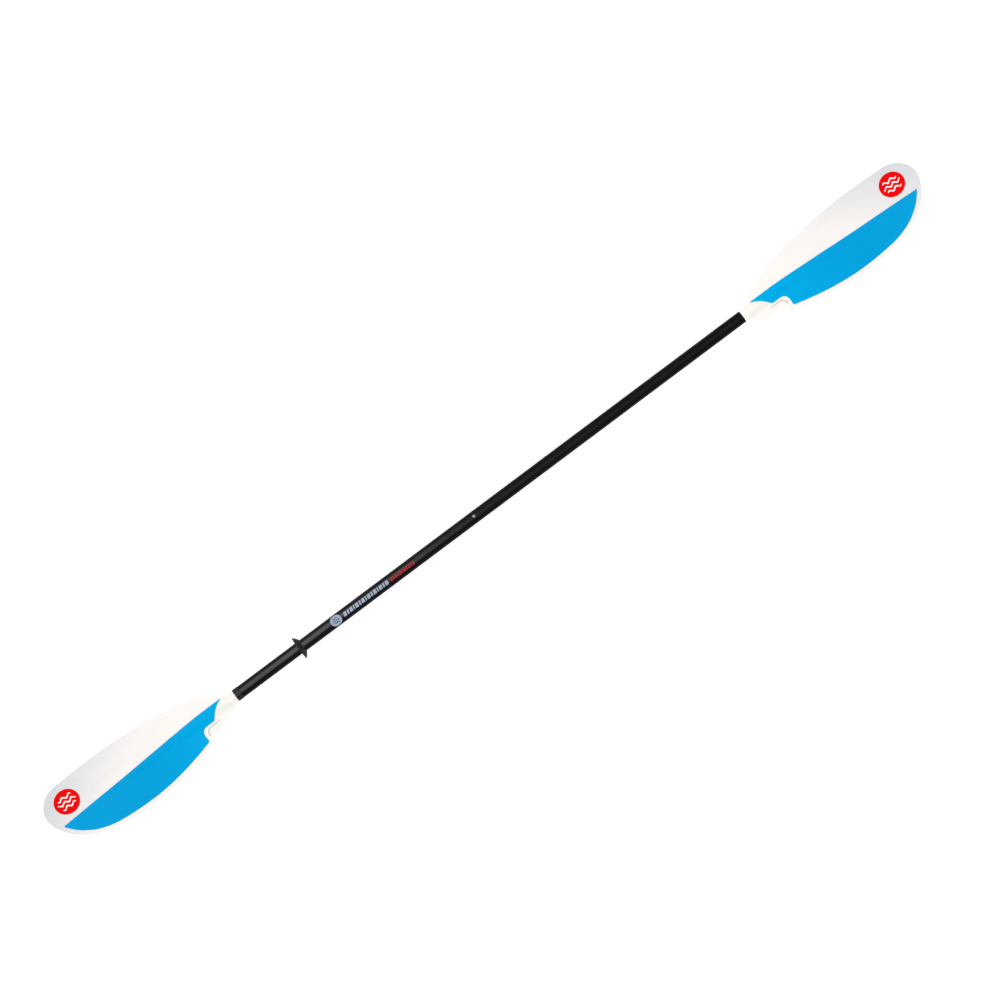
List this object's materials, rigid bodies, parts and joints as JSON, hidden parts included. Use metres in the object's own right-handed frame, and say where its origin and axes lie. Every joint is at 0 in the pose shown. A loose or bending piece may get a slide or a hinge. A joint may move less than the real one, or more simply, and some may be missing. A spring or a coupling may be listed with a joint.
{
  "type": "kayak paddle",
  "caption": "Two-piece kayak paddle: black tube shaft with a snap-button ferrule, a drip ring, and white and blue spoon blades with hook notches.",
  "frame": {"origin": "on the shaft's axis at half of the paddle's length", "axes": "+X along the shaft from the left blade (the one with the drip ring) to the right blade; +Y across the blades, away from the hook notches; +Z out of the blades' faces"},
  "size_m": [2.4, 0.165, 0.0556],
  "materials": {
    "blade_white": "satin moulded nylon",
    "panel_blue": "printed film, satin",
    "badge_red": "printed film, satin",
    "shaft_black": "black anodised, satin",
    "trim_black": "matt vinyl",
    "rubber_black": "matt rubber",
    "ferrule_nylon": "turned nylon",
    "pin_grey": "dull drawn rod",
    "spring_steel": "spring strip",
    "button_steel": "polished",
    "print_pale": "printed film"
  },
  "bodies": {
    "left_half": {"left_blade": "blade_white", "left_blade_panel": "panel_blue", "left_blade_badge": "badge_red", "left_shaft_tube": "shaft_black", "left_end_collar": "trim_black", "left_blade_pin": "pin_grey", "left_tube_bung": "rubber_black", "shaft_decals": "print_pale"},
    "drip_ring": {"drip_ring": "rubber_black"},
    "ferrule_washer": {"ferrule_washer": "trim_black"},
    "right_half": {"right_blade": "blade_white", "right_blade_panel": "panel_blue", "right_blade_badge": "badge_red", "right_shaft_tube": "shaft_black", "right_blade_pin": "pin_grey", "ferrule_insert": "ferrule_nylon", "ferrule_end_cap": "ferrule_nylon", "ferrule_pin": "pin_grey", "snap_spring": "spring_steel"},
    "snap_button": {"snap_button": "button_steel"}
  },
  "joints": [
    {"name": "ring_slide", "type": "slide", "parent": "left_half", "child": "drip_ring", "axis": [1, 0, 0], "range_m": [-0.15, 0.44]},
    {"name": "feather_turn", "type": "hinge", "parent": "left_half", "child": "ferrule_washer", "pos_m": [0.0135, 0, 0], "axis": [-1, 0, 0], "range_deg": [0, 60], "deforming": ["snap_button"]},
    {"name": "ferrule_pull", "type": "slide", "parent": "ferrule_washer", "child": "right_half", "axis": [1, 0, 0], "range_m": [0, 0.16], "deforming": ["snap_button"]},
    {"name": "button_press", "type": "slide", "parent": "right_half", "child": "snap_button", "axis": [0, -0.1564, -0.9877], "range_m": [0, 0.0046], "stiffness_N_per_m": 1500, "springref_m": -0.002, "deforming": ["snap_spring"]}
  ]
}
